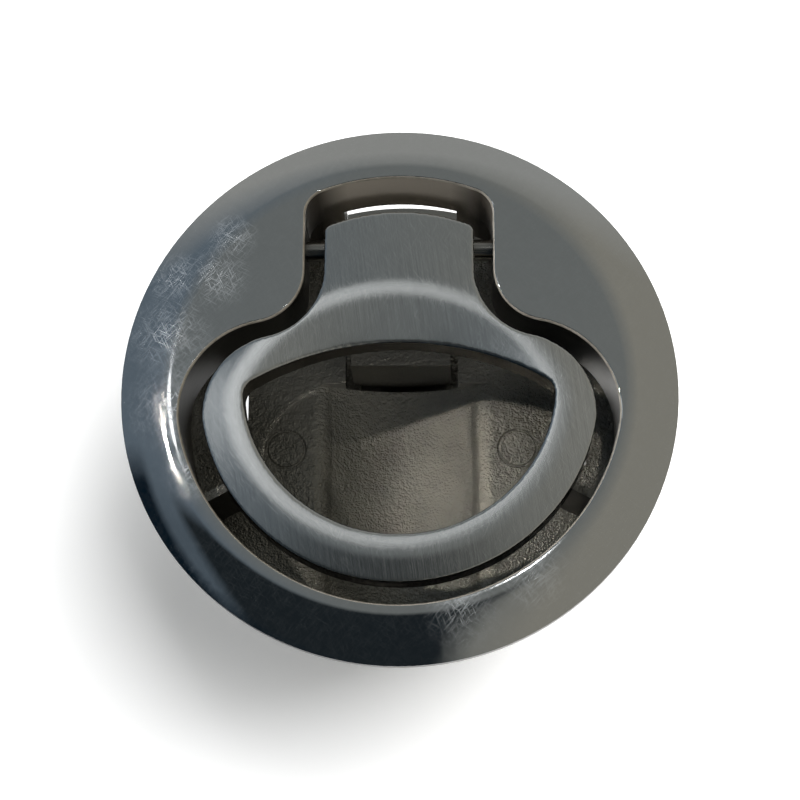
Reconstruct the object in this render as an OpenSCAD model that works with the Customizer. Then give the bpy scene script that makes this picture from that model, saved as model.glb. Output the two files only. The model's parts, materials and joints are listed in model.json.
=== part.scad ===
// Flush pull latch: a round cast bezel with a cup, a lift ring that folds flush into it,
// and a spring bolt under the cup that the ring draws back.
// Origin: centre of the flange's underside, where it seats on the panel. +Z points out of the
// panel, +Y towards the edge that the bolt catches.

/* [Flange and spigot] */
// Outer diameter of the polished flange
flange_d = 63.5; // [62:0.5:68]
// Height of the flange's flat inner land above the panel
flange_h = 3; // [2.6:0.1:4]
// Radius at which the flat land turns into the domed skirt
land_r = 26.2; // [25.8:0.1:27.5]
// Slope of the skirt where it leaves the land, in degrees
skirt_angle = 8; // [4:1:12]
// Height of the skirt's outer rim above the panel
rim_h = 1; // [0.6:0.1:1.4]
// Outer diameter of the spigot that fits the panel hole
spigot_d = 56.5; // [55.5:0.5:59]

/* [Window and cup] */
// Radius of the cup and of the round part of the window
cup_r = 25.2; // [24.8:0.1:25.6]
// Depth of the cup's floor below the panel face
cup_depth = 12; // [11:0.5:14]
// Thickness of the cup's floor
floor_t = 2; // [1.6:0.1:3]
// Half the width of the window's neck
neck_half = 10.85; // [10.4:0.05:11.4]
// Radius of the rounded ears beside the neck
ear_r = 6.4; // [5.6:0.1:7]
// Radius of the window's side lobes under the ears
lobe_r = 10.8; // [10.2:0.1:11.4]
// Direction of the lobes below the X axis, in degrees
lobe_drop = 12; // [8:1:16]
// Corner radius at the end of the neck
neck_corner_r = 3; // [2:0.1:4]
// Depth of the ears below the panel face
ear_depth = 6; // [5:0.5:7]
// Depth below the panel face at which the bolt's notch starts in the spigot wall
notch_top = 5.5; // [4.5:0.5:6]
// Depth of the finger trough below the cup's floor
trough_depth = 3.7; // [3.4:0.1:4]
// Radius of the trough's section
trough_r = 15.6; // [14.4:0.2:18]
// Half the width of the trough
trough_half = 8.4; // [8:0.1:8.8]
// Radius of the soft shoulder along each side of the trough
trough_shoulder_r = 3; // [2:0.1:3.4]
// Depth to which that shoulder falls
trough_shoulder_h = 1.2; // [0.8:0.1:1.2]
// Distance from the centre to the inner edge of each drain slot
drain_x = 18.4; // [18:0.1:18.8]
// Width of each drain slot
drain_w = 3.5; // [2.8:0.1:4]
// Length of each drain slot along Y
drain_len = 10.6; // [9:0.2:11]
// Middle of the drain slots along Y
drain_y = -0.7; // [-2:0.1:0]
// Corner radius of the drain slots
drain_corner_r = 1.2; // [0.6:0.1:2]
// Direction of the two rest ribs below the X axis, in degrees
rest_rib_drop = 28.4; // [24:0.2:34]
// Thickness of the rest ribs
rest_rib_t = 1; // [0.8:0.1:1.6]
// Length of the rest ribs under the ring's bow
rest_rib_lap = 2.4; // [1.6:0.1:3]

/* [Lift ring] */
// Outer radius of the ring's bow
ring_r = 22.6; // [22:0.1:23]
// Radius of the ring's side lobes
ring_lobe_r = 9; // [8.4:0.1:9.6]
// Radius of the hollow between the tab and each lobe
ring_hollow_r = 8.2; // [7.8:0.1:8.6]
// Half the width of the pivot tab
tab_half = 8.65; // [8:0.05:9]
// Radius of the tab's rounded end, about the centre of the latch
tab_end_r = 21.5; // [21:0.1:22]
// Corner radius at the tab's end
tab_corner_r = 1; // [0.6:0.1:1.6]
// Radius of the lower edge of the finger hole
hole_r = 17.7; // [17.2:0.1:18]
// Height of that edge's centre above the centre of the latch
hole_y = 0.5; // [0.2:0.1:0.8]
// Radius of the upper edge of the finger hole
hole_top_r = 32.5; // [28:0.5:40]
// Height of the upper edge of the finger hole above the centre
hole_top_y = 5.3; // [4:0.1:6]
// Corner radius of the finger hole
hole_corner_r = 2; // [1.4:0.1:2.6]
// Height of the ring's crest above the panel face
crest_z = 2.9; // [2.6:0.1:3.2]
// Depth of the ring's underside below the panel face
ring_under = 1.2; // [0.8:0.1:1.6]
// Section radius of the bow's crown
bow_crown_r = 12; // [10:0.5:14]
// Section radius of the crest over the upper bar
crest_r = 8; // [6:0.5:12]
// Slope of the upper bar and of the tab on each side of that crest, in degrees
crest_slope = 8; // [6:0.5:10]
// Radius of the crest over the upper bar
crest_arc_r = 20; // [19:0.5:21]
// Height of that crest's middle above the centre
crest_top_y = 12.5; // [11.5:0.5:13]

/* [Pivot and drive] */
// Diameter of the pivot pin
pin_d = 2.5; // [2:0.1:3]
// Length of the pivot pin
pin_len = 40; // [34:1:42]
// Distance of the pin from the centre of the latch
pin_y = 17.6; // [17.2:0.1:18]
// Depth of the pin's axis below the panel face
pin_depth = 1; // [0.8:0.1:1.2]
// Wall of the knuckle round the pin
knuckle_wall = 1.4; // [1.2:0.1:1.8]
// Distance from the pin to the centre of the drive arm's nose
arm_reach = 8; // [7.6:0.1:8.2]
// Radius of the drive arm's nose
arm_nose_r = 1.6; // [1.4:0.1:1.8]
// Width of the drive arm
arm_w = 9.6; // [8:0.2:10]

/* [Bolt] */
// Width of the bolt's head, which shows through the cup
head_w = 11.8; // [11.2:0.1:12.2]
// Length of the bolt's head along Y
head_len = 10.4; // [10:0.1:10.8]
// Depth of the head's top below the panel face
head_top = 6.6; // [6:0.1:7]
// Width of the bolt's blade
blade_w = 14.5; // [14:0.1:14.8]
// Thickness of the bolt's blade
blade_t = 6.5; // [5.5:0.1:7.5]
// Depth of the blade's top below the panel face
blade_top = 24.4; // [23.5:0.1:25.5]
// Radius of the bolt's rounded tip, about the centre of the latch
bolt_tip_y = 32.3; // [31.5:0.1:33]
// Length of the blade
blade_len = 36.4; // [35.6:0.1:37.2]
// Height of the square edge left above the bevel
tip_edge = 1.6; // [1.2:0.1:2.4]
// Width of the post that joins the head to the blade
post_w = 10; // [9:0.1:10.4]
// Length of the post along Y
post_len = 4.8; // [4:0.1:5]

/* [Bolt guide and cover] */
// Wall of the guide's rails
rail_t = 2.6; // [2.2:0.1:3]
// Height of the lips that hold the blade down
lip_h = 1.8; // [1.4:0.1:2.4]
// Length of the space for the spring behind the blade
spring_space = 15.5; // [14:0.5:16]
// Thickness of the cover plate
cover_t = 1.5; // [1.2:0.1:2]
// Distance of the front cover screws from the middle, along Y
screw_y = 16; // [15:0.5:17]
// Distance of the rear cover screws from the end of the spring's space
screw_inset = 3.6; // [3.2:0.1:5]
// Diameter of the screws' thread
screw_d = 3; // [2.5:0.1:3.2]
// Length of the screws under the head
screw_len = 8; // [6:0.5:10]
// Diameter of the screw heads
screw_head_d = 5.5; // [5:0.1:6]
// Height of the screw heads
screw_head_h = 1.8; // [1.4:0.1:2]
// Length of each arm of the cross recess, from tip to tip
cross_len = 3.2; // [2.6:0.1:3.6]
// Width of the cross recess
cross_w = 0.8; // [0.6:0.1:1]
// Depth of the cross recess
cross_depth = 1; // [0.6:0.1:1.2]
// Wall of the casting round each screw
screw_wall = 1.5; // [1.2:0.1:2]
// Depth to which the screw bosses merge into the rails
boss_merge = 0.8; // [0.4:0.1:1.2]
// Depth of the tapped holes past the screws' ends
tap_spare = 1.5; // [0.5:0.1:2.5]

/* [Bolt spring] */
// Outer diameter of the spring
spring_d = 4.2; // [3.6:0.1:4.6]
// Diameter of the spring's wire
wire_d = 0.6; // [0.5:0.05:0.8]
// Turns in the spring
spring_turns = 10; // [8:1:12]
// Depth of the spring's pocket in the blade
pocket_depth = 8; // [6:0.5:10]

/* [Fixing bosses] */
// Distance between the two tapped fixing bosses
boss_pitch = 27.6; // [27:0.2:28.4]
// Place of the bosses along Y
boss_y = -3.4; // [-4:0.1:-2]
// Diameter of the fixing bosses
boss_d = 7.6; // [7:0.1:8]
// Depth of the fixing bosses' ends below the panel face
boss_end = 21; // [18:0.5:22]
// Tapping diameter of the fixing holes
boss_tap_d = 3.3; // [2.5:0.1:4]
// Radius of the witness ring on the floor over each boss
witness_r = 2.25; // [2:0.05:2.6]
// Depth of the groove of that ring
witness_depth = 0.2; // [0.1:0.05:0.3]
// Floor left over the end of each fixing hole
boss_skin = 1; // [0.6:0.1:1.4]

/* [Clearances] */
// Gap between sliding faces
slide_gap = 0.3; // [0.25:0.05:0.4]
// Radial gap of the ring on its pin
pivot_gap = 0.05; // [0.02:0.01:0.1]
// Radial gap of the pin and of the screws in the casting
seat_gap = 0.02; // [0.01:0.01:0.05]
// Gap behind the bolt's head in the floor
head_gap = 0.55; // [0.4:0.05:0.8]
// Gap beside the bolt's head in the floor
head_side_gap = 0.85; // [0.6:0.05:1.1]
// Radial gap of the screws in the cover plate
screw_gap = 0.15; // [0.1:0.05:0.3]
// Gap at each end of the spring
spring_gap = 0.1; // [0.05:0.05:0.2]

/* [Hidden] */
$fn = 96;
eps = 0.01;
cut = 1;
far = 100;
flange_r = flange_d / 2;
spigot_r = spigot_d / 2;
// The skirt is one arc that leaves the land at its slope and ends on the rim.
skirt_chord = norm([flange_r - land_r, flange_h - rim_h]);
skirt_fall = atan2(flange_h - rim_h, flange_r - land_r);
skirt_r = skirt_chord / (2 * sin(skirt_fall - skirt_angle));
pin_z = -pin_depth;
pin_r = pin_d / 2;
knuckle_r = pin_r + knuckle_wall;
floor_z = -cup_depth;
floor_under = floor_z - floor_t;
trough_z = floor_z - trough_depth;
trough_axis_z = trough_z + trough_r;
trough_shoulder = sqrt(trough_shoulder_h * (2 * trough_shoulder_r - trough_shoulder_h));
// The drive face of the bolt's head stands just clear of the arm's nose.
head_front_y = pin_y - arm_nose_r - slide_gap;
head_rear_y = head_front_y - head_len;
trough_end_y = head_rear_y - head_gap;
slot_half = head_w / 2 + head_side_gap;
blade_z = -blade_top;
blade_under = blade_z - blade_t;
blade_rear_y = bolt_tip_y - blade_len;
rail_in = blade_w / 2 + slide_gap;
rail_out = rail_in + rail_t;
rail_front_y = sqrt(pow(spigot_r - slide_gap, 2) - pow(rail_out, 2));
guide_end_y = blade_rear_y - spring_space;
cover_z = blade_under - slide_gap;
lip_in = post_w / 2 + slide_gap;
screw_boss_r = screw_d / 2 + screw_wall;
screw_x = rail_out + screw_boss_r - boss_merge;
screw_ys = [guide_end_y + screw_inset, screw_y];
bore_r = screw_d / 2 + seat_gap;
spring_mid_r = (spring_d - wire_d) / 2;
spring_y0 = guide_end_y + wire_d / 2 + spring_gap;
spring_y1 = blade_rear_y + pocket_depth - wire_d / 2 - spring_gap;
spring_z = (blade_z + blade_under) / 2;
// The bow's crest and the upper bar's crest are two circles that cross on each side of the ring.
bow_mid = (ring_r + hole_r - hole_y) / 2;
crest_c = crest_top_y - crest_arc_r;
crest_cross_y = (pow(bow_mid, 2) - pow(crest_arc_r, 2) + pow(crest_c, 2)) / (2 * crest_c);
crest_lap = 3;

// Outline shared by the window and the lift ring: a round bow, a lobe on each side, hollow
// shoulders and a neck with a rounded end about the same centre.
module keyhole(bow_r, side_r, shoulder_r, half, end_r, corner_r) {
    lobe = (bow_r - side_r) * [cos(lobe_drop), -sin(lobe_drop)];
    shoulder_x = half + shoulder_r;
    reach = side_r + shoulder_r;
    shoulder_y = lobe[1] + sqrt(pow(reach, 2) - pow(shoulder_x - lobe[0], 2));
    join_y = -bow_r * sin(lobe_drop);
    corner_x = half - corner_r;
    corner_y = sqrt(pow(end_r - corner_r, 2) - pow(corner_x, 2));
    intersection() {
        circle(bow_r);
        translate([-far / 2, join_y - far])
            square(far);
    }
    for (s = [-1, 1])
        translate([s * lobe[0], lobe[1]])
            circle(side_r);
    difference() {
        polygon([[-lobe[0], join_y - eps], [lobe[0], join_y - eps], lobe,
                 [shoulder_x, shoulder_y], [-shoulder_x, shoulder_y], [-lobe[0], lobe[1]]]);
        for (s = [-1, 1])
            translate([s * shoulder_x, shoulder_y])
                circle(shoulder_r);
    }
    translate([-half, 0])
        square([2 * half, corner_y]);
    for (s = [-1, 1])
        translate([s * corner_x, corner_y])
            circle(corner_r);
    intersection() {
        circle(end_r);
        polygon([[0, 0], 2 * [corner_x, corner_y], 2 * [-corner_x, corner_y]]);
    }
}

module window() {
    keyhole(cup_r, lobe_r, ear_r, neck_half, cup_r, neck_corner_r);
}

// Finger hole: a lens between two arcs, with its two corners rounded.
module finger_hole() {
    top_c = hole_top_y - hole_top_r - hole_y;
    a = hole_r - hole_corner_r;
    b = hole_top_r - hole_corner_r;
    corner_y = (pow(a, 2) - pow(b, 2) + pow(top_c, 2)) / (2 * top_c);
    corner_x = sqrt(pow(a, 2) - pow(corner_y, 2));
    low = [corner_x, corner_y] * hole_r / a;
    high = [corner_x, corner_y - top_c] * hole_top_r / b + [0, top_c];
    translate([0, hole_y]) {
        intersection() {
            circle(hole_r);
            translate([0, top_c])
                circle(hole_top_r);
            polygon([[high[0], far], high, low, [low[0], -far], [-low[0], -far],
                     [-low[0], low[1]], [-high[0], high[1]], [-high[0], far]]);
        }
        for (s = [-1, 1])
            translate([s * corner_x, corner_y])
                circle(hole_corner_r);
    }
}

module rounded_rect(size, r) {
    translate([-size[0] / 2 + r, -size[1] / 2])
        square([size[0] - 2 * r, size[1]]);
    translate([-size[0] / 2, -size[1] / 2 + r])
        square([size[0], size[1] - 2 * r]);
    for (x = [-1, 1], y = [-1, 1])
        translate([x * (size[0] / 2 - r), y * (size[1] / 2 - r)])
            circle(r);
}

// A block given by its lowest and highest corners.
module block(low, high) {
    translate(low)
        cube(high - low);
}

module along_y(y0, y1, r) {
    translate([0, y1, 0])
        rotate([90, 0, 0])
            cylinder(h = y1 - y0, r = r);
}

// Flat land with a domed skirt that falls to the thin rim.
module flange() {
    rotate_extrude($fn = 180)
        intersection() {
            square([flange_r, flange_h]);
            union() {
                square([land_r, flange_h]);
                translate([land_r - skirt_r * sin(skirt_angle), flange_h - skirt_r * cos(skirt_angle)])
                    circle(skirt_r, $fn = 180);
            }
        }
}

// Two rails, an end wall and lips hang under the cup and hold the blade.
module bolt_guide() {
    for (s = [-1, 1]) {
        block([s > 0 ? rail_in : -rail_out, guide_end_y - rail_t, cover_z],
              [s > 0 ? rail_out : -rail_in, rail_front_y, floor_z]);
        block([s > 0 ? lip_in : -rail_in - eps, guide_end_y - eps, blade_z + slide_gap],
              [s > 0 ? rail_in + eps : -lip_in, rail_front_y, blade_z + slide_gap + lip_h]);
    }
    block([-rail_out, guide_end_y - rail_t, cover_z], [rail_out, guide_end_y, floor_z]);
    for (x = [-1, 1], y = screw_ys)
        translate([x * screw_x, y, cover_z])
            cylinder(h = floor_z - cover_z, r = screw_boss_r);
}

// Round-bottomed section with steep sides and a soft shoulder along each of them.
module trough_section() {
    intersection() {
        translate([0, trough_axis_z])
            circle(trough_r);
        translate([-trough_half, floor_z - far])
            square([2 * trough_half, far + eps]);
    }
    for (s = [-1, 1])
        scale([s, 1])
            difference() {
                translate([trough_half - eps, floor_z - trough_shoulder_h])
                    square([trough_shoulder + eps, trough_shoulder_h + eps]);
                translate([trough_half + trough_shoulder, floor_z - trough_shoulder_r])
                    circle(trough_shoulder_r);
            }
}

module trough_cut() {
    intersection() {
        translate([0, trough_end_y, 0])
            rotate([90, 0, 0])
                linear_extrude(far)
                    trough_section();
        cylinder(h = far, r = cup_r - floor_t, center = true);
    }
}

module trough_back() {
    intersection() {
        translate([0, 0, trough_axis_z])
            along_y(-spigot_r, trough_end_y, trough_r + floor_t);
        block([-far, -far, floor_z - far], [far, far, floor_z - eps]);
        cylinder(h = far, r = cup_r + floor_t / 2, center = true);
    }
}

module drain_slots() {
    translate([0, 0, floor_under - cut])
        linear_extrude(floor_t + 2 * cut)
            for (s = [-1, 1])
                translate([s * (drain_x + drain_w / 2), drain_y])
                    rounded_rect([drain_w, drain_len], drain_corner_r);
}

// Ribs on the cup's wall that stop the ring flush with the flange.
module rest_ribs() {
    for (a = [-rest_rib_drop, 180 + rest_rib_drop])
        rotate([0, 0, a])
            block([ring_r - rest_rib_lap, -rest_rib_t / 2, floor_z - eps],
                  [cup_r + eps, rest_rib_t / 2, -ring_under - slide_gap]);
}

module bezel_body() {
    color("silver")
        difference() {
            union() {
                difference() {
                    union() {
                        flange();
                        translate([0, 0, floor_under])
                            cylinder(h = -floor_under, r = spigot_r, $fn = 180);
                        trough_back();
                        bolt_guide();
                        for (s = [-1, 1])
                            translate([s * boss_pitch / 2, boss_y, -boss_end])
                                cylinder(h = boss_end - cup_depth, d = boss_d);
                    }
                    translate([0, 0, -ear_depth])
                        linear_extrude(far)
                            window($fn = 180);
                    translate([0, 0, floor_z])
                        cylinder(h = cup_depth - ear_depth, r = cup_r, $fn = 180);
                    drain_slots();
                    trough_cut();
                }
                rest_ribs();
            }
            // Way for the bolt's head and post, open through the spigot's front.
            block([-slot_half, trough_end_y, trough_z - floor_t - eps], [slot_half, far, -notch_top]);
            block([-rail_in, guide_end_y, cover_z - cut], [rail_in, far, blade_z + slide_gap]);
            block([-lip_in, guide_end_y, blade_z], [lip_in, far, trough_z - floor_t]);
            translate([0, pin_y, pin_z])
                rotate([0, 90, 0])
                    cylinder(h = far, r = pin_r + seat_gap, center = true);
            for (s = [-1, 1]) {
                translate([s * boss_pitch / 2, boss_y, -boss_end - cut])
                    cylinder(h = boss_end + cut - cup_depth - boss_skin, d = boss_tap_d);
                translate([s * boss_pitch / 2, boss_y, floor_z])
                    rotate_extrude()
                        translate([witness_r, 0])
                            circle(witness_depth, $fn = 24);
            }
            for (x = [-1, 1], y = screw_ys)
                translate([x * screw_x, y, cover_z - cut])
                    cylinder(h = screw_len - cover_t + tap_spare + cut, r = bore_r);
        }
}

// Crown of the ring: a round crown along the bow, and a ridge with even slopes over the upper bar
// and the tab, which take over from each other where their crests cross.
module ring_crown() {
    bow_start = asin(-crest_cross_y / bow_mid) - crest_lap;
    rotate([0, 0, 180 + bow_start])
        rotate_extrude(angle = 180 - 2 * bow_start, $fn = 180)
            bow_section();
    intersection() {
        translate([0, crest_c, 0])
            rotate_extrude($fn = 180)
                ridge_section();
        block([-far, crest_cross_y, -far], [far, far, far]);
    }
}

module bow_section() {
    intersection() {
        translate([bow_mid, crest_z - bow_crown_r])
            circle(bow_crown_r, $fn = 180);
        translate([0, -ring_under])
            square([far, crest_z + ring_under]);
    }
}

// The slopes are sunk a little, so that they cross the round crest instead of touching it.
module ridge_section() {
    turn = crest_r * [sin(crest_slope), cos(crest_slope) - 1] + [0, crest_z - eps];
    span = crest_arc_r / 2;
    foot_z = turn[1] - (span - turn[0]) * tan(crest_slope);
    translate([crest_arc_r, 0]) {
        intersection() {
            translate([0, crest_z - crest_r])
                circle(crest_r, $fn = 180);
            translate([-2 * turn[0], -ring_under / 2])
                square([4 * turn[0], far]);
        }
        polygon([[-span, -ring_under], [-span, foot_z], [-turn[0], turn[1]],
                 turn, [span, foot_z], [span, -ring_under]]);
    }
}

module lift_ring() {
    color("lightsteelblue")
        difference() {
            union() {
                intersection() {
                    translate([0, 0, -ring_under])
                        linear_extrude(crest_z + ring_under)
                            difference() {
                                keyhole(ring_r, ring_lobe_r, ring_hollow_r, tab_half, tab_end_r,
                                        tab_corner_r, $fn = 180);
                                finger_hole($fn = 180);
                            }
                    ring_crown();
                }
                translate([-tab_half, pin_y, pin_z])
                    rotate([0, 90, 0])
                        cylinder(h = 2 * tab_half, r = knuckle_r);
                translate([-arm_w / 2, pin_y, pin_z - arm_reach])
                    rotate([0, 90, 0])
                        cylinder(h = arm_w, r = arm_nose_r);
                block([-arm_w / 2, pin_y - arm_nose_r, pin_z - arm_reach],
                      [arm_w / 2, pin_y + arm_nose_r, pin_z]);
            }
            translate([0, pin_y, pin_z])
                rotate([0, 90, 0])
                    cylinder(h = far, r = pin_r + pivot_gap, center = true);
        }
}

module pivot_pin() {
    color("gainsboro")
        translate([-pin_len / 2, pin_y, pin_z])
            rotate([0, 90, 0])
                cylinder(h = pin_len, r = pin_r);
}

// The head runs in the trough, the post passes between the lips, and the blade is the catch.
module slide_bolt() {
    color("darkgray")
        difference() {
            union() {
                intersection() {
                    block([-head_w / 2, head_rear_y, trough_z], [head_w / 2, head_front_y, -head_top]);
                    translate([0, 0, trough_axis_z])
                        along_y(head_rear_y, head_front_y, trough_r - slide_gap);
                }
                block([-post_w / 2, head_front_y - post_len, blade_z - eps],
                      [post_w / 2, head_front_y, -head_top - cut]);
                intersection() {
                    block([-blade_w / 2, blade_rear_y, blade_under], [blade_w / 2, bolt_tip_y, blade_z]);
                    cylinder(h = far, r = bolt_tip_y, center = true, $fn = 180);
                }
            }
            translate([-blade_w, bolt_tip_y, blade_z - tip_edge])
                rotate([90, 0, 90])
                    linear_extrude(2 * blade_w)
                        polygon([[eps, 0], [eps, -blade_t], [tip_edge - blade_t, -blade_t],
                                 [tip_edge - blade_t, tip_edge - blade_t]]);
            translate([0, 0, spring_z])
                along_y(blade_rear_y - cut, blade_rear_y + pocket_depth, spring_d / 2 + slide_gap);
        }
}

// Open coil, swept with a round wire from the guide's end wall to the bottom of the pocket.
function coil_y(t) = spring_y0 + (spring_y1 - spring_y0) * t;
module bolt_spring() {
    steps = spring_turns * 18;
    sides = 8;
    ring = [for (i = [0:steps])
        let (a = 360 * spring_turns * i / steps)
            for (k = [0:sides - 1])
                let (b = 360 * k / sides,
                     r = spring_mid_r + wire_d / 2 * cos(b))
                    [r * cos(a), coil_y(i / steps) + wire_d / 2 * sin(b), spring_z + r * sin(a)]];
    sides_faces = [for (i = [0:steps - 1], k = [0:sides - 1])
        let (k2 = (k + 1) % sides)
            [i * sides + k, (i + 1) * sides + k, (i + 1) * sides + k2, i * sides + k2]];
    start = [for (k = [0:sides - 1]) k];
    end = [for (k = [sides - 1:-1:0]) steps * sides + k];
    color("slategray")
        polyhedron(ring, concat(sides_faces, [start, end]), convexity = 10);
}

// A strip as wide as the guide, with a lug over each screw boss, that stays inside the panel hole.
module cover_outline() {
    length = rail_front_y - guide_end_y + rail_t;
    intersection() {
        circle(spigot_r - slide_gap);
        union() {
            translate([0, rail_front_y - length / 2])
                rounded_rect([2 * rail_out, length], rail_t);
            for (y = screw_ys)
                translate([0, y])
                    rounded_rect([2 * (screw_x + screw_boss_r), 2 * screw_boss_r], screw_boss_r - eps);
        }
    }
}

module cover_plate() {
    color("gray")
        difference() {
            translate([0, 0, cover_z - cover_t])
                linear_extrude(cover_t)
                    cover_outline();
            for (x = [-1, 1], y = screw_ys)
                translate([x * screw_x, y, cover_z - cover_t - cut])
                    cylinder(h = cover_t + 2 * cut, r = bore_r + screw_gap);
        }
}

// Pan-head screw with a cross recess, driven up into the casting.
module cover_screw(x, y) {
    color("lightgray")
        translate([x * screw_x, y, cover_z - cover_t])
            difference() {
                union() {
                    cylinder(h = screw_len, d = screw_d);
                    translate([0, 0, -screw_head_h])
                        cylinder(h = screw_head_h, d = screw_head_d);
                }
                for (a = [0, 90])
                    rotate([0, 0, a])
                        block([-cross_len / 2, -cross_w / 2, -screw_head_h - cut],
                              [cross_len / 2, cross_w / 2, cross_depth - screw_head_h]);
            }
}

bezel_body();
lift_ring();
pivot_pin();
slide_bolt();
bolt_spring();
cover_plate();
cover_screw(-1, screw_ys[0]);  // cover_screw_1
cover_screw(1, screw_ys[0]);  // cover_screw_2
cover_screw(-1, screw_ys[1]);  // cover_screw_3
cover_screw(1, screw_ys[1]);  // cover_screw_4
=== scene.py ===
"""Looks of a flush pull latch: cast, polished, brushed and blasted stainless steel on a white table.

The latch's own solids are the frame. Each casting here is a copy of its solid with the edges eased
as polishing and blasting leave them, and each surface has the finish that its making gave it, save for
painted shade on the ground walls and in part on the ring's walls, painted light and shade on the neck's end,
and painted highlights on the window's lip and the trough's lips.
"""
import json
import math

import bmesh
import bpy
from mathutils import Matrix, Vector


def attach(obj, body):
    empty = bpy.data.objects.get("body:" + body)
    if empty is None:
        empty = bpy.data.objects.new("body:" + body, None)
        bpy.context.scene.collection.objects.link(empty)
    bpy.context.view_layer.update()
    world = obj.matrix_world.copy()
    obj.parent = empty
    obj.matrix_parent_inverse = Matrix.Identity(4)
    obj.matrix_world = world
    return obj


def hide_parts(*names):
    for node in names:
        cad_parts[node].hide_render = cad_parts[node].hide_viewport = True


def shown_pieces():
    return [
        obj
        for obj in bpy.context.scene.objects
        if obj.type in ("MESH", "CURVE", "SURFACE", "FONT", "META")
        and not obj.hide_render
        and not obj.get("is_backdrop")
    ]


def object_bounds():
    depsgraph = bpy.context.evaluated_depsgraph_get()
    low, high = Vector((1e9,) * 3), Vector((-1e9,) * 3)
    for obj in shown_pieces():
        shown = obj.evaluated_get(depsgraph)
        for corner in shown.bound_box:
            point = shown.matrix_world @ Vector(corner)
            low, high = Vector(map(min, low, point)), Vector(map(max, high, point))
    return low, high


MM = 0.001

# Camera, fitted to the flange's ellipse in the 800 pixel photograph.
IMAGE_PX = 800
FOCAL_PX = 2185.7
SENSOR_MM = 36.0
CAMERA_AT = Vector((5.5, -72.7, 239.0)) * MM
CAMERA_AIM = Vector((0.07, -0.93, 0.0)) * MM

# Directions towards the lamps, with each one's distance, width and power, in metres and watts.
KEY_TOWARDS = Vector((-0.55, 0.2, 1.0))
KEY_DISTANCE = 0.5
KEY_LAMP_R = 0.017
KEY_AIM = Vector((0.0, -6.0, 0.0)) * MM
KEY_CONE_DEG = 3.2
KEY_WATTS = 4.8
CEILING_TOWARDS = Vector((0.0467, 0.1688, 0.882))
CEILING_DISTANCE = 0.9
CEILING_LAMP_D = 0.014
CEILING_WATTS = 0.02
LEFT_LAMP_TOWARDS = Vector((-0.28, 0.26, 0.92))
LEFT_LAMP_DISTANCE = 0.9
LEFT_LAMP_D = 0.08
LEFT_LAMP_WATTS = 0.045
SIDE_LAMP_TOWARDS = Vector((-0.9, 0.3, 0.33))
SIDE_LAMP_DISTANCE = 0.5
SIDE_LAMP_D = 0.1
SIDE_LAMP_WATTS = 2.5
FILL_LAMP_TOWARDS = Vector((0.1, -0.7, 0.7))
FILL_LAMP_DISTANCE = 0.5
FILL_LAMP_D = 0.15
FILL_LAMP_WATTS = 0.5
RING_LAMP_TOWARDS = Vector((-0.2, 0.3, 0.95))
RING_LAMP_DISTANCE = 0.9
RING_LAMP_D = 0.3
RING_LAMP_WATTS = 0.22
TABLE_LAMP_TOWARDS = Vector((0.42, 0.25, 1.0))
TABLE_LAMP_DISTANCE = 0.6
TABLE_LAMP_SIZE = 0.5
TABLE_LAMP_WATTS = 7.6
TABLE_SIZE = 4.0
TABLE_GLOW = 0.25
# A bright patch of the table that shows through the left drain slot.
DRAIN_GLOW_AT = Vector((-21.5, 8.5, -37.5)) * MM
DRAIN_GLOW_R = 6.0 * MM

# The dim room, laid over a grey ceiling: each tone with the directions between which it comes in.
CEILING_TONE = "#777A79"
ROOM_TONES = [
    ("#66727D", ("X", -0.05, -0.45)),
    ("#949188", ("X", 0.05, 0.45)),
    ("#A3A3A0", ("Y", 0.62, 0.86)),
    ("#55606A", ("Y", 0.1, -0.15), ("X", -0.1, -0.3)),
    ("#20262A", ("Y", 0.03, -0.05), ("X", -0.64, -0.55), ("X", 0.24, 0.1)),
    ("#0A1924", ("Z", 0.66, 0.56), ("Y", 0.12, -0.02), ("X", 0.0, -0.15)),
]

# Edge radii that casting and polishing leave.
EDGE_ANGLE_DEG = 28.0
MERGE_GAP = 0.002 * MM
FLAT_ANGLE_DEG = 0.3
EDGE_SEGMENTS = 4
ON_EDGE_GAP = 0.02 * MM
LIP_MM = 0.3
EASED_EDGE_MM = {
    "bezel_body": 0.28,
    "pivot_pin": 0.15,
    "slide_bolt": 0.25,
    "cover_plate": 0.2,
    "cover_screw_1": 0.12,
    "cover_screw_2": 0.12,
    "cover_screw_3": 0.12,
    "cover_screw_4": 0.12,
}

# The ring is skinned afresh, dressed to a crest and rubbed down, all but the bore of its pin.
RING_SKIN_MM = 0.2
RING_RUBS = 3
RING_TOP_Z = 1.0 * MM
CREST_Z = 2.9 * MM
CREST_R = 12.0 * MM
CREST_SLOPE = math.tan(math.radians(8.0))
CREST_BLEND = 1.2 * MM
BOW_CREST_R = 18.6 * MM
BAR_CREST_R = 20.0 * MM
BAR_CREST_Y = -8.0 * MM
PIN_Y = 17.6 * MM
PIN_Z = -1.0 * MM
BORE_KEEP = 2.0 * MM

# The soft turn from the land to the skirt, narrow enough to stay clear of the window's lip.
LAND_R = 26.2 * MM
LAND_TURN_MM = 0.6

# Where each finish ends on the bezel: the land's height, the skirt, the panel seat and the cup's wall.
LAND_Z = 3.0 * MM
POLISH_DEPTH = 0.32 * MM
SKIRT_R = 25.9 * MM
SEAT_Z = 0.02 * MM
RIM_R = 31.6 * MM
NECK_END_Y = 20.0 * MM
LIP_FACING = 0.97
WALL_FOOT_Z = -11.9 * MM
STEEP = 0.35
BOLT_TOP_FACING = 0.7
BOLT_TOP_Z = -12.0 * MM

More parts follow.
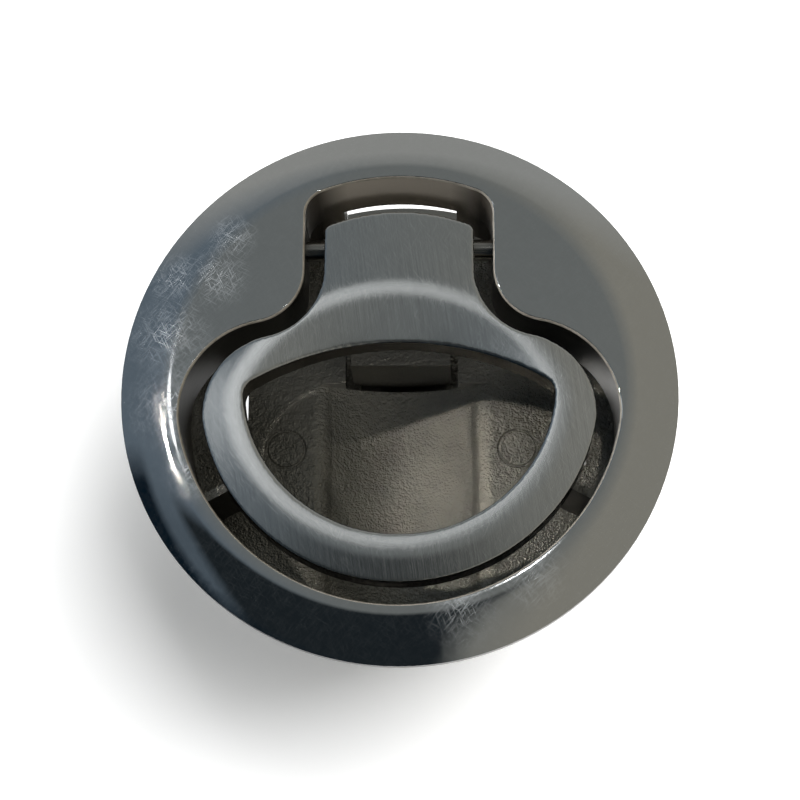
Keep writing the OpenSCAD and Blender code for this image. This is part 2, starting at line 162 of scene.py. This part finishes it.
# Where handling has scratched the flange: the middle of each patch and its reach, in millimetres.
WORN_PATCHES_MM = [
    ((-21.0, 13.0, 3.0), 4.5),
    ((-19.2, 18.0, 3.0), 3.5),
    ((-25.7, 13.0, 2.0), 4.0),
    ((-26.3, 6.2, 2.5), 6.0),
    ((-25.4, -2.1, 2.5), 6.5),
    ((-22.8, -9.9, 3.0), 4.5),
    ((14.3, -21.6, 3.0), 5.0),
    ((7.0, -26.0, 2.5), 5.0),
]
WORN_ELSEWHERE = 0.08

# Where a highlight is painted along the trough's lips: the inner and outer edge of each strip, its foot and
# its upper end, each from nothing to full, in millimetres, and how strongly the left and the right lip show
# it.
LIP_INNER_MM = (8.7, 9.3)
LIP_OUTER_MM = (11.2, 10.2)
LIP_FOOT_MM = (-13.4, -13.0)
LIP_END_MM = (2.0, -1.0)
LEFT_LIP_HIGHLIGHT = 0.1
RIGHT_LIP_HIGHLIGHT = 0.45

# Distance from the middle at which painted shade darkens the neck's end towards its corners, in millimetres.
NECK_PAINTED_SHADE_MM = (6.0, 9.5)


def linear(hex_colour):
    """Turns an sRGB hex colour into the linear values that a shader takes."""
    parts = [int(hex_colour[i:i + 2], 16) / 255 for i in (1, 3, 5)]
    return tuple(c / 12.92 if c <= 0.04045 else ((c + 0.055) / 1.055) ** 2.4 for c in parts) + (1.0,)


def add(tree, kind, feeds=None, **settings):
    """Adds one shader node with its settings; a feed is a constant, a socket or a node's first output."""
    made = tree.nodes.new("ShaderNode" + kind)
    for name, value in settings.items():
        setattr(made, name, value)
    for socket, value in (feeds or {}).items():
        if isinstance(value, bpy.types.Node):
            value = value.outputs[0]
        if isinstance(value, bpy.types.NodeSocket):
            tree.links.new(value, made.inputs[socket])
        else:
            made.inputs[socket].default_value = value
    return made


def new_finish(name):
    """A bare material: itself, its node tree and its object coordinates."""
    material = bpy.data.materials.new(name)
    material.use_nodes = True
    tree = material.node_tree
    tree.nodes.clear()
    return material, tree, add(tree, "TexCoord").outputs["Object"]


def coat(tree, **inputs):
    """Closes a finish with its metal shader."""
    feeds = {name.replace("_", " "): value for name, value in inputs.items()}
    metal = add(tree, "BsdfPrincipled", {"Metallic": 1.0, **feeds})
    add(tree, "OutputMaterial", {"Surface": metal})


def grain(tree, place, cell_mm, turn_deg=0.0, detail=2.0, seed=0.0):
    """A surface grain whose cells measure cell_mm along X, Y and Z after a turn about Z."""
    turned = add(tree, "Mapping", {"Vector": place, "Rotation": (0, 0, math.radians(turn_deg))},
                 vector_type="TEXTURE")
    scaled = add(tree, "Mapping", {"Vector": turned, "Location": (seed, seed, seed),
                                   "Scale": tuple(1 / (mm * MM) for mm in cell_mm)})
    return add(tree, "TexNoise", {"Vector": scaled, "Scale": 1.0, "Detail": detail, "Roughness": 0.55})


def hairlines(tree, place, width_mm, length_mm, turns_deg, low, high):
    """Scratches along a few directions, 1 on a scratch and 0 between, drawn coarse enough to show."""
    lines = 0.0
    for seed, turn in enumerate(turns_deg):
        streak = grain(tree, place, (width_mm, length_mm, length_mm), turn, 1.0, 5.0 * seed + 1.0)
        line = add(tree, "MapRange", {"Value": streak, "From Min": low, "From Max": high})
        lines = add(tree, "Math", {0: lines, 1: line}, operation="MAXIMUM")
    return lines


def worn_patches(tree, place):
    """Where handling has scratched the polish: 1 in the middle of each patch, and little elsewhere."""
    worn = WORN_ELSEWHERE
    for centre, reach in WORN_PATCHES_MM:
        away = add(tree, "VectorMath", {0: place, 1: tuple(c * MM for c in centre)}, operation="DISTANCE")
        near = add(tree, "MapRange", {"Value": away.outputs["Value"], "From Min": reach * MM,
                                      "From Max": 0.2 * reach * MM})
        worn = add(tree, "Math", {0: worn, 1: near}, operation="MAXIMUM")
    return worn


def polished_stainless():
    """Cast stainless buffed to a mirror: clear reflections, with short scratches where it was handled."""
    material, tree, place = new_finish("polished_stainless")
    worn = worn_patches(tree, place)
    lines = hairlines(tree, place, 0.09, 1.8, (-35.0, -50.0, 25.0, 60.0), 0.58, 0.7)
    scratched = add(tree, "Math", {0: lines, 1: worn}, operation="MULTIPLY")
    haze = add(tree, "MapRange", {"Value": grain(tree, place, (7.0, 5.0, 5.0), seed=9.0), "From Min": 0.35,
                                  "From Max": 0.7, "To Min": 0.03, "To Max": 0.07})
    haze = add(tree, "Math", {0: worn, 1: 0.05, 2: haze}, operation="MULTIPLY_ADD")
    dull = add(tree, "Math", {0: scratched, 1: 0.2, 2: haze}, operation="MULTIPLY_ADD")
    clear = add(tree, "MapRange", {"Value": scratched, "To Min": 1.0, "To Max": 0.75})
    tone = add(tree, "Mix", {"Factor": scratched, 6: linear("#CBCDCD"), 7: linear("#F2F6FA")},
               data_type="RGBA")
    coat(tree, Base_Color=tone.outputs[2], Metallic=clear, Roughness=dull)
    return material


def buffed_lip_painted_highlight():
    """The lip of the flange's window, where the buff has cut the edge, in a pale tone that paints a thin
    highlight line along it.
    """
    material, tree, place = new_finish("buffed_lip_painted_highlight")
    lay = grain(tree, place, (1.5, 1.5, 1.5), seed=7.0)
    # Painted highlight: the pale cream tone stands for the light that the buffed edge catches.
    tone = add(tree, "Mix", {"Factor": lay, 6: linear("#8C8377"), 7: linear("#F4ECDD")}, data_type="RGBA")
    coat(tree, Base_Color=tone.outputs[2], Metallic=0.5, Roughness=0.35)
    return material


def lip_painted_highlight(tree, place):
    """A painted highlight along the lips of the trough: 1 along each lip of the cup's floor, 0 elsewhere."""
    at = add(tree, "SeparateXYZ", {"Vector": place}).outputs
    aside = add(tree, "Math", {0: at["X"]}, operation="ABSOLUTE")
    rubbed_ring_or_lip_highlight = add(tree, "MapRange", {"Value": at["X"], "From Min": -MM, "From Max": MM,
                                    "To Min": LEFT_LIP_HIGHLIGHT, "To Max": RIGHT_LIP_HIGHLIGHT})
    for value, (start, end) in ((aside, LIP_INNER_MM), (aside, LIP_OUTER_MM), (at["Z"], LIP_FOOT_MM),
                                (at["Y"], LIP_END_MM)):
        edge = add(tree, "MapRange", {"Value": value, "From Min": start * MM, "From Max": end * MM})
        rubbed_ring_or_lip_highlight = add(tree, "Math", {0: rubbed_ring_or_lip_highlight, 1: edge}, operation="MULTIPLY")
    return rubbed_ring_or_lip_highlight


def neck_casting_painted_light_and_shade():
    """The end of the neck, left as cast under a thin brown scale, with painted light in the middle and
    painted shade towards the corners.
    """
    material, tree, place = new_finish("as_cast_neck_painted_light_and_shade")
    scale = grain(tree, place, (0.5, 0.5, 0.5), detail=3.0, seed=6.0)
    bump = add(tree, "Bump", {"Height": scale, "Strength": 0.5, "Distance": 0.1 * MM})
    aside = add(tree, "Math", {0: add(tree, "SeparateXYZ", {"Vector": place})}, operation="ABSOLUTE")
    corner = add(tree, "MapRange", {"Value": aside, "From Min": NECK_PAINTED_SHADE_MM[0] * MM,
                                    "From Max": NECK_PAINTED_SHADE_MM[1] * MM})
    # Painted light and shade: a pale tone in the middle and a dark one towards the corners, over the brown
    # scale.
    tone = add(tree, "Mix", {"Factor": corner, 6: linear("#CFC6B8"), 7: linear("#4A453E")}, data_type="RGBA")
    coat(tree, Base_Color=tone.outputs[2], Metallic=0.1, Roughness=0.55, Normal=bump)
    return material


def blasted_casting():
    """As-cast stainless after shot blasting: a grey-brown skin of fine dimples that sparkles in the sun."""
    material, tree, place = new_finish("blasted_casting")
    coarse = grain(tree, place, (0.6, 0.6, 0.6), detail=2.0)
    fine = grain(tree, place, (0.25, 0.25, 0.25), detail=1.0, seed=5.0)
    dimples = add(tree, "Math", {0: fine, 1: 0.6, 2: coarse}, operation="MULTIPLY_ADD")
    bump = add(tree, "Bump", {"Height": dimples, "Strength": 1.0, "Distance": 0.24 * MM})
    stain = add(tree, "MapRange", {"Value": grain(tree, place, (6.0, 6.0, 6.0), seed=2.0), "From Min": 0.35,
                                   "From Max": 0.65})
    tone = add(tree, "Mix", {"Factor": stain, 6: linear("#9A9992"), 7: linear("#AAA8A0")}, data_type="RGBA")
    rubbed_ring_or_lip_highlight = lip_painted_highlight(tree, place)
    # Painted highlight: the trough's lips are lightened, more on the right lip, which faces the light.
    tone = add(tree, "Mix", {"Factor": rubbed_ring_or_lip_highlight, 6: tone.outputs[2], 7: linear("#DDD8CA")}, data_type="RGBA")
    coat(tree, Base_Color=tone.outputs[2], Metallic=0.6, Roughness=0.38, Normal=bump)
    return material


def cleaned_wall_painted_shade():
    """Steep walls of the castings, ground smooth but not buffed, in a dark brown that is painted shade."""
    material, tree, place = new_finish("ground_wall_painted_shade")
    ripple = grain(tree, place, (1.2, 1.2, 0.5), detail=3.0, seed=3.0)
    bump = add(tree, "Bump", {"Height": ripple, "Strength": 0.3, "Distance": 0.05 * MM})
    # Painted shade: the near-black base stands for the shade in the window's gaps and along the flange's rim.
    coat(tree, Base_Color=linear("#2C2926"), Roughness=0.28, Normal=bump)
    return material


def brushed_stainless():
    """Cast stainless dressed by hand with a fine belt: hairlines along its length, and walls darker than the
    top, as cast skin and as painted shade.
    """
    material, tree, place = new_finish("brushed_stainless")
    hair = grain(tree, place, (0.07, 6.0, 2.0), 8.0, 2.0)
    crossed = hairlines(tree, place, 0.06, 2.5, (42.0, 30.0, -25.0), 0.6, 0.74)
    ridges = add(tree, "Math", {0: crossed, 1: 0.4, 2: hair}, operation="MULTIPLY_ADD")
    bump = add(tree, "Bump", {"Height": ridges, "Strength": 0.2, "Distance": 0.015 * MM})
    rough = add(tree, "MapRange", {"Value": hair, "From Min": 0.3, "From Max": 0.7, "To Min": 0.18,
                                   "To Max": 0.26})
    across = add(tree, "Tangent", direction_type="UV_MAP", uv_map="brushing")
    facing = add(tree, "SeparateXYZ", {"Vector": add(tree, "UVMap", uv_map="facing")})
    top = add(tree, "MapRange", {"Value": facing, "From Min": 0.55, "From Max": 0.7})
    lay = add(tree, "MapRange", {"Value": ridges, "From Min": 0.3, "From Max": 0.9})
    steel = add(tree, "Mix", {"Factor": lay, 6: linear("#BEC0C0"), 7: linear("#D8DAD9")}, data_type="RGBA")
    # Walls that don't face up take a dark tone: partly their cast skin, partly painted shade.
    tone = add(tree, "Mix", {"Factor": top, 6: linear("#6E6962"), 7: steel.outputs[2]}, data_type="RGBA")
    coat(tree, Base_Color=tone.outputs[2], Roughness=rough, Normal=bump, Anisotropic=0.85, Tangent=across)
    return material


def satin_steel(name, colour, grain_mm, roughness):
    """Ground or drawn steel: an even sheen with a faint grain."""
    material, tree, place = new_finish(name)
    lay = grain(tree, place, grain_mm)
    rough = add(tree, "MapRange", {"Value": lay, "From Min": 0.3, "From Max": 0.7,
                                   "To Min": roughness - 0.06, "To Max": roughness + 0.08})
    bump = add(tree, "Bump", {"Height": lay, "Strength": 0.25, "Distance": 0.02 * MM})
    coat(tree, Base_Color=linear(colour), Roughness=rough, Normal=bump)
    return material


def merged_shape(node):
    """A solid's mesh with its loose triangles joined."""
    shape = bmesh.new()
    shape.from_mesh(frame["nodes"][node].data)
    bmesh.ops.remove_doubles(shape, verts=shape.verts, dist=MERGE_GAP)
    return shape


def stand_in(shape, node):
    """Turns a shape into the piece that stands for a node."""
    for face in shape.faces:
        face.smooth = True
    mesh = bpy.data.meshes.new(node + "_eased")
    shape.to_mesh(mesh)
    shape.free()
    piece = bpy.data.objects.new(node + "_eased", mesh)
    bpy.context.scene.collection.objects.link(piece)
    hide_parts(node)
    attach(piece, body_of[node])
    return piece


def on_land_border(point):
    """True on the circle where the flange's flat land turns into its skirt."""
    return abs(math.hypot(point.x, point.y) - LAND_R) < ON_EDGE_GAP and abs(point.z - LAND_Z) < ON_EDGE_GAP


def on_window_lip(point):
    """True on the upper edge of the flange's window."""
    return math.hypot(point.x, point.y) < SKIRT_R and abs(point.z - LAND_Z) < ON_EDGE_GAP


def sharp_edges(shape):
    """The edges at which two faces of a shape meet at more than a slight angle."""
    return [e for e in shape.edges
            if len(e.link_faces) == 2 and e.calc_face_angle(0) > math.radians(EDGE_ANGLE_DEG)]


def ease(shape, edges, width_mm):
    """Rounds some edges of a shape."""
    bmesh.ops.bevel(shape, geom=edges, offset=width_mm * MM, offset_type="OFFSET", affect="EDGES",
                    segments=EDGE_SEGMENTS, profile=0.5, material=-1, clamp_overlap=True)


def eased_copy(node, edge_mm):
    """A copy of a solid with merged faces and eased edges, which stands for it."""
    shape = merged_shape(node)
    bmesh.ops.dissolve_limit(shape, angle_limit=math.radians(FLAT_ANGLE_DEG), verts=shape.verts,
                             edges=shape.edges)
    ease(shape, [e for e in sharp_edges(shape) if all(on_window_lip(v.co) for v in e.verts)], LIP_MM)
    ease(shape, sharp_edges(shape), edge_mm)
    ease(shape, [e for e in shape.edges if all(on_land_border(v.co) for v in e.verts)], LAND_TURN_MM)
    piece = stand_in(shape, node)
    piece.modifiers.new("even_shading", "WEIGHTED_NORMAL").weight = 80
    return piece


def crown(x, y):
    """Height of the ring's dressed top: even slopes on both sides of a rounded crest that runs all round."""
    turn = math.atan2(y, x)
    bar = BAR_CREST_Y * math.sin(turn) + math.sqrt(BAR_CREST_R ** 2 - (BAR_CREST_Y * math.cos(turn)) ** 2)
    share = min(max(0.5 + 0.5 * (bar - BOW_CREST_R) / CREST_BLEND, 0.0), 1.0)
    crest = bar + (BOW_CREST_R - bar) * share - CREST_BLEND * share * (1 - share)
    away = abs(math.hypot(x, y) - crest)
    bend = CREST_R * CREST_SLOPE
    return CREST_Z - min(away, bend) ** 2 / (2 * CREST_R) - max(away - bend, 0.0) * CREST_SLOPE


def dressed_ring():
    """The ring under a fresh even skin, dressed to its crest and rubbed until its edges turn softly."""
    piece = stand_in(merged_shape("lift_ring"), "lift_ring")
    skin = piece.modifiers.new("even_skin", "REMESH")
    skin.mode = "VOXEL"
    skin.voxel_size = RING_SKIN_MM * MM
    skinned = piece.evaluated_get(bpy.context.evaluated_depsgraph_get())
    shape = bmesh.new()
    shape.from_mesh(skinned.to_mesh())
    piece.modifiers.remove(skin)
    for v in shape.verts:
        if v.co.z > RING_TOP_Z:
            top = crown(v.co.x, v.co.y)
            v.co.z = top if v.normal.z > STEEP else min(v.co.z, top)
    rubbed_ring_or_lip_highlight = [v for v in shape.verts if math.hypot(v.co.y - PIN_Y, v.co.z - PIN_Z) > BORE_KEEP]
    for _ in range(RING_RUBS):
        bmesh.ops.smooth_vert(shape, verts=rubbed_ring_or_lip_highlight, factor=0.5, use_axis_x=True, use_axis_y=True,
                              use_axis_z=True)
    for face in shape.faces:
        face.smooth = True
    shape.to_mesh(piece.data)
    shape.free()
    return piece


def lay_maps(piece):
    """Maps for a finish dressed from above: one along X and Y, and one of how far a face looks up."""
    brushing = piece.data.uv_layers.new(name="brushing")
    facing = piece.data.uv_layers.new(name="facing")
    for loop in piece.data.loops:
        point = piece.data.vertices[loop.vertex_index]
        brushing.data[loop.index].uv = (point.co.x / (100 * MM), point.co.y / (100 * MM))
        facing.data[loop.index].uv = ((1 + point.normal.z) / 2, 0.5)


def bezel_finish(face):
    """0 for the polished flange, 1 ground walls in painted shade, 2 the blasted rest, 3 the neck's end in
    painted light and shade, 4 the lip with a painted highlight.
    """
    middle = face.center
    out = math.hypot(middle.x, middle.y)
    steep = abs(face.normal.z) < STEEP
    # The flange's outer rim takes the ground wall's painted shade.
    if steep and out > RIM_R:
        return 1
    if out > SKIRT_R and middle.z > SEAT_Z:
        return 0
    if middle.z > LAND_Z - POLISH_DEPTH:
        return 4 if face.normal.z < LIP_FACING else 0
    if steep and middle.z > WALL_FOOT_Z and out < SKIRT_R:
        return 3 if middle.y > NECK_END_Y else 1
    return 2


def make_bezel():
    """The cast bezel: a mirror flange with a buffed lip in a painted highlight, ground walls in painted
    shade, a neck's end in painted light and shade, and a blasted cup and back with painted highlights on the
    trough's lips.
    """
    bezel = eased_copy("bezel_body", EASED_EDGE_MM["bezel_body"])
    for finish in (polished_stainless(), painted_shade_wall, blasted, neck_casting_painted_light_and_shade(), buffed_lip_painted_highlight()):
        bezel.data.materials.append(finish)
    for face in bezel.data.polygons:
        face.material_index = bezel_finish(face)


def make_ring():
    """The lift ring, dressed along its length."""
    ring = dressed_ring()
    lay_maps(ring)
    ring.data.materials.append(brushed_stainless())


def make_bolt():
    """The slide bolt: blasted all over, with its sliding and driving faces ground."""
    bolt = eased_copy("slide_bolt", EASED_EDGE_MM["slide_bolt"])
    bolt.data.materials.append(blasted)
    bolt.data.materials.append(satin_steel("ground_bolt_faces", "#A09E99", (0.2, 2.0, 0.4), 0.34))
    for face in bolt.data.polygons:
        face.material_index = 0 if face.normal.z > BOLT_TOP_FACING and face.center.z > BOLT_TOP_Z else 1


def make_small_parts():
    """Pin, cover plate and screws, each with its own steel."""
    steels = {
        "pivot_pin": satin_steel("ground_pin_steel", "#A3A19C", (3.0, 0.15, 0.15), 0.26),
        "cover_plate": satin_steel("mill_finish_sheet", "#B9BBBB", (0.18, 6.0, 1.0), 0.36),
    }
    screw_steel = satin_steel("passivated_screw_steel", "#C2C2BF", (0.4, 0.4, 0.4), 0.3)
    for node, edge_mm in EASED_EDGE_MM.items():
        if node in steels or node.startswith("cover_screw"):
            eased_copy(node, edge_mm).data.materials.append(steels.get(node, screw_steel))


def make_spring():
    """The coiled spring keeps its solid and gets drawn wire's finish."""
    spring = frame["nodes"]["bolt_spring"]
    spring.data.materials.clear()
    spring.data.materials.append(satin_steel("drawn_spring_wire", "#B0AFAB", (0.3, 0.3, 0.3), 0.3))


def add_lamp(name, kind, energy, towards, distance, receivers):
    """A lamp in a direction from the latch that lights only its receivers."""
    lamp = bpy.data.lights.new(name, kind)
    lamp.energy = energy
    thing = bpy.data.objects.new(name, lamp)
    bpy.context.scene.collection.objects.link(thing)
    thing.location = towards.normalized() * distance
    thing.rotation_euler = towards.to_track_quat("Z", "Y").to_euler()
    thing.light_linking.receiver_collection = receivers
    return lamp


def collect(name, things):
    """A collection that names what a lamp lights."""
    group = bpy.data.collections.new(name)
    for thing in things:
        group.objects.link(thing)
    return group


def make_table():
    """A white table under the screw heads, a little lighter than its lamp makes it, to keep shadows soft."""
    shape = bmesh.new()
    bmesh.ops.create_grid(shape, x_segments=1, y_segments=1, size=TABLE_SIZE / 2)
    bmesh.ops.translate(shape, verts=shape.verts, vec=(0, 0, cad_box[0].z))
    mesh = bpy.data.meshes.new("white_table")
    shape.to_mesh(mesh)
    shape.free()
    table = bpy.data.objects.new("white_table", mesh)
    bpy.context.scene.collection.objects.link(table)
    material, tree, place = new_finish("white_table_paint")
    paint = add(tree, "BsdfDiffuse", {"Color": linear("#F4F4F4")})
    away = add(tree, "VectorMath", {0: place, 1: DRAIN_GLOW_AT}, operation="DISTANCE")
    lift = add(tree, "MapRange", {"Value": away.outputs["Value"], "From Min": DRAIN_GLOW_R,
                                  "From Max": 0.8 * DRAIN_GLOW_R, "To Min": TABLE_GLOW, "To Max": 1.0})
    rays = add(tree, "LightPath").outputs
    seen = add(tree, "Math", {0: rays["Is Camera Ray"], 1: rays["Is Glossy Ray"]}, operation="ADD")
    seen = add(tree, "Math", {0: seen, 1: rays["Is Transmission Ray"]}, operation="ADD")
    glow = add(tree, "Emission", {"Color": linear("#FFFFFF"),
                                  "Strength": add(tree, "Math", {0: seen, 1: lift}, operation="MULTIPLY")})
    add(tree, "OutputMaterial", {"Surface": add(tree, "AddShader", {0: paint, 1: glow})})
    mesh.materials.append(material)
    table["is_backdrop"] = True
    return table


def make_room():
    """A dim room around the table: blue-grey at the left, warmer at the right, dark in front."""
    world = bpy.data.worlds.new("dim_room")
    bpy.context.scene.world = world
    world.use_nodes = True
    tree = world.node_tree
    tree.nodes.clear()
    look = add(tree, "SeparateXYZ", {"Vector": add(tree, "TexCoord").outputs["Generated"]})
    tone = linear(CEILING_TONE)
    for colour, *limits in ROOM_TONES:
        share = 1.0
        for axis, start, end in limits:
            edge = add(tree, "MapRange", {"Value": look.outputs[axis], "From Min": start, "From Max": end})
            share = add(tree, "Math", {0: share, 1: edge}, operation="MULTIPLY")
        tone = add(tree, "Mix", {"Factor": share, 6: tone, 7: linear(colour)}, data_type="RGBA").outputs[2]
    light = add(tree, "Background", {"Color": tone, "Strength": 1.0})
    add(tree, "OutputWorld", {"Surface": light})


def make_lamps(table):
    """A narrow light from the upper left, two lamps that glint, two that fill, the ring's and the table's."""
    rings = [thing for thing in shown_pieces() if thing.name.startswith("lift_ring")]
    latch = collect("latch_pieces", [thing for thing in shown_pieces() if thing not in rings])
    ring = collect("ring_pieces", rings)
    tabletop = collect("tabletop", [table])
    key = add_lamp("window_light", "SPOT", KEY_WATTS, KEY_TOWARDS, KEY_DISTANCE, latch)
    bpy.data.objects["window_light"].location += KEY_AIM
    key.spot_size = math.radians(KEY_CONE_DEG)
    key.spot_blend = 0.2
    key.shadow_soft_size = KEY_LAMP_R
    key.color = linear("#FFF8EC")[:3]
    for name, watts, towards, distance, across, lit in (
            ("ceiling_lamp", CEILING_WATTS, CEILING_TOWARDS, CEILING_DISTANCE, CEILING_LAMP_D, latch),
            ("left_lamp", LEFT_LAMP_WATTS, LEFT_LAMP_TOWARDS, LEFT_LAMP_DISTANCE, LEFT_LAMP_D, latch),
            ("side_lamp", SIDE_LAMP_WATTS, SIDE_LAMP_TOWARDS, SIDE_LAMP_DISTANCE, SIDE_LAMP_D, latch),
            ("fill_lamp", FILL_LAMP_WATTS, FILL_LAMP_TOWARDS, FILL_LAMP_DISTANCE, FILL_LAMP_D, latch),
            ("ring_lamp", RING_LAMP_WATTS, RING_LAMP_TOWARDS, RING_LAMP_DISTANCE, RING_LAMP_D, ring)):
        lamp = add_lamp(name, "AREA", watts, towards, distance, lit)
        lamp.shape = "DISK"
        lamp.size = across
    for name in ("side_lamp", "fill_lamp"):
        bpy.data.objects[name].visible_glossy = False
    soft = add_lamp("table_lamp", "AREA", TABLE_LAMP_WATTS, TABLE_LAMP_TOWARDS, TABLE_LAMP_DISTANCE,
                    tabletop)
    soft.size = TABLE_LAMP_SIZE


def make_camera():
    """The photograph's viewpoint: above and a little in front, with +Y up in the picture."""
    camera = bpy.data.cameras.new("viewpoint")
    camera.sensor_width = SENSOR_MM
    camera.lens = FOCAL_PX / IMAGE_PX * SENSOR_MM
    camera.clip_start = 10 * MM
    thing = bpy.data.objects.new("viewpoint", camera)
    bpy.context.scene.collection.objects.link(thing)
    back = (CAMERA_AT - CAMERA_AIM).normalized()
    right = Vector((0, 1, 0)).cross(back).normalized()
    turned = Matrix((right, back.cross(right), back)).transposed()
    thing.matrix_world = Matrix.Translation(CAMERA_AT) @ turned.to_4x4()
    bpy.context.scene.camera = thing


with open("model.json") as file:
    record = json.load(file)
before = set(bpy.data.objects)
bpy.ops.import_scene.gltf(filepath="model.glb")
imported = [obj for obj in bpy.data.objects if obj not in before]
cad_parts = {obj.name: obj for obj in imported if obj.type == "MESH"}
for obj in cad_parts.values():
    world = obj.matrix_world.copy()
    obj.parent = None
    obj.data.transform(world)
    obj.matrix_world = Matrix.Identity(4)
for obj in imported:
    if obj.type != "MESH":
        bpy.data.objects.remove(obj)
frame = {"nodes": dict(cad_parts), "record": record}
cad_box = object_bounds()
body_of = {node: body for body, nodes in frame["record"]["behaviour"]["bodies"].items() for node in nodes}
blasted = blasted_casting()
painted_shade_wall = cleaned_wall_painted_shade()

make_camera()
make_bezel()
make_ring()
make_bolt()
make_small_parts()
make_spring()
make_room()
make_lamps(make_table())
bpy.context.scene.view_settings.view_transform = "Standard"
